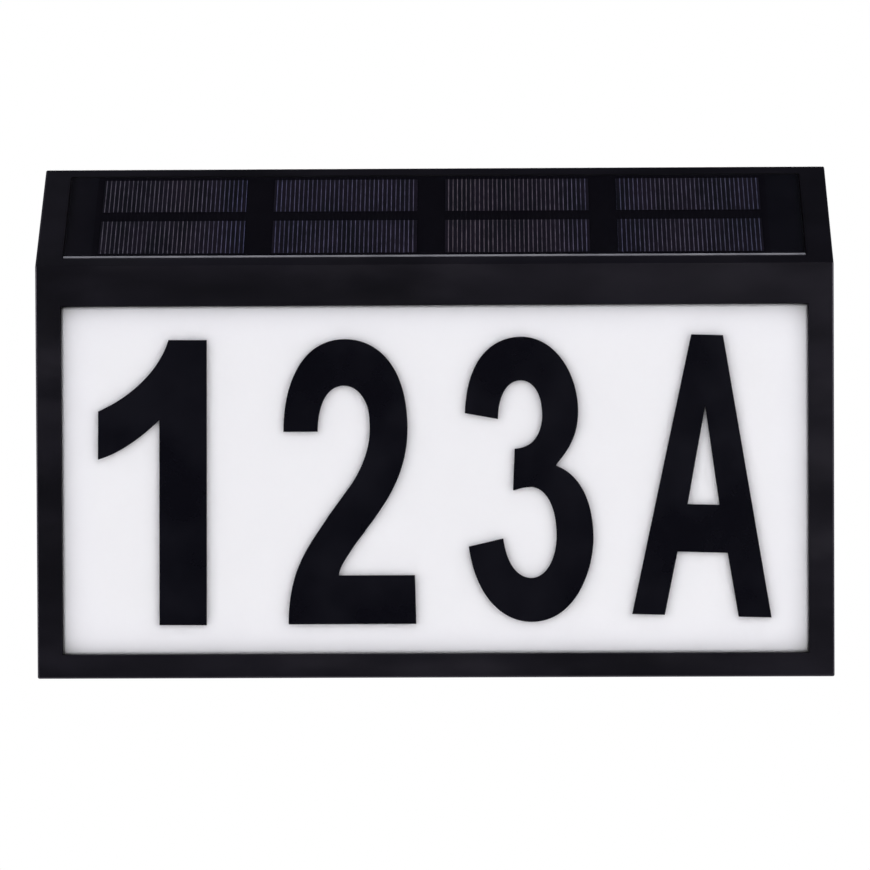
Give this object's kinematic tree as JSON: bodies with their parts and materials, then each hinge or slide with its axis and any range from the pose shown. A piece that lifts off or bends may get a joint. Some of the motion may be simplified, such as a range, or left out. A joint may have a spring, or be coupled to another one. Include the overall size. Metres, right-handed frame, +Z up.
{
  "type": "illuminated house number sign",
  "caption": "Solar-powered wall box with a lit opal front panel, raised black house number characters and a leaning solar module along its top.",
  "frame": {"origin": "on the wall plane, midway between the entries of the two keyholes", "axes": "+X to the right as seen from the street, +Z up, -Y out from the wall towards the street"},
  "size_m": [0.28, 0.0406, 0.1805],
  "materials": {
    "black_abs": "moulded black ABS, finely textured",
    "opal_acrylic": "cast opal acrylic, satin face",
    "black_film": "cut black PVC, satin",
    "foam_tape": "closed-cell foam tape",
    "black_backsheet": "glass-epoxy board under black film",
    "silicon_cell": "diffused silicon with printed silver fingers",
    "clear_laminate": "clear cast laminate",
    "tinned_copper": "tinned copper",
    "white_abs": "moulded white ABS, satin",
    "board_aluminium": "aluminium-core strip under white solder mask",
    "led_package": "white LED package with a phosphor lens",
    "zinc_steel": "zinc-plated steel",
    "silicone": "moulded silicone",
    "cell_sleeve": "shrink sleeve on a steel can",
    "nickel_steel": "nickel-plated spring steel",
    "black_nylon": "moulded black nylon",
    "green_board": "glass-epoxy board under green solder mask",
    "white_nylon": "moulded natural nylon",
    "black_epoxy": "moulded black epoxy",
    "wound_ferrite": "ferrite core under varnished copper",
    "sleeved_can": "aluminium can under a shrink sleeve",
    "wire_pvc": "stranded copper in PVC"
  },
  "bodies": {
    "case": {"back_cover": "black_abs", "back_gasket": "silicone", "battery_cell_1": "cell_sleeve", "battery_cell_2": "cell_sleeve", "battery_contacts": "nickel_steel", "battery_lead": "wire_pvc", "battery_springs": "nickel_steel", "board_connectors": "white_nylon", "board_screws": "zinc_steel", "case_screws": "zinc_steel", "charge_coil": "wound_ferrite", "control_board": "green_board", "control_chip": "black_epoxy", "diffuser_panel": "opal_acrylic", "digit_1": "black_film", "digit_2": "black_film", "digit_3": "black_film", "front_housing": "black_abs", "led_board_lower": "board_aluminium", "led_board_upper": "board_aluminium", "led_chips_lower": "led_package", "led_chips_upper": "led_package", "led_lead": "wire_pvc", "led_link": "wire_pvc", "letter_a": "black_film", "reflector_tray": "white_abs", "solar_adhesive": "foam_tape", "solar_backsheet": "black_backsheet", "solar_cells": "silicon_cell", "solar_cover": "clear_laminate", "solar_lead": "wire_pvc", "solar_terminals": "tinned_copper", "storage_capacitor": "sleeved_can", "switch_body": "black_nylon", "switch_lead": "wire_pvc", "tray_screws": "zinc_steel"},
    "battery_door": {"battery_door": "black_abs", "door_gasket": "silicone", "door_screws": "zinc_steel"},
    "switch_slider": {"switch_knob": "white_nylon"}
  },
  "joints": [
    {"name": "door_lift", "type": "slide", "parent": "case", "child": "battery_door", "axis": [0, 1, 0], "range_m": [0, 0.02]},
    {"name": "switch_slide", "type": "slide", "parent": "case", "child": "switch_slider", "axis": [1, 0, 0], "range_m": [0, 0.003]}
  ]
}
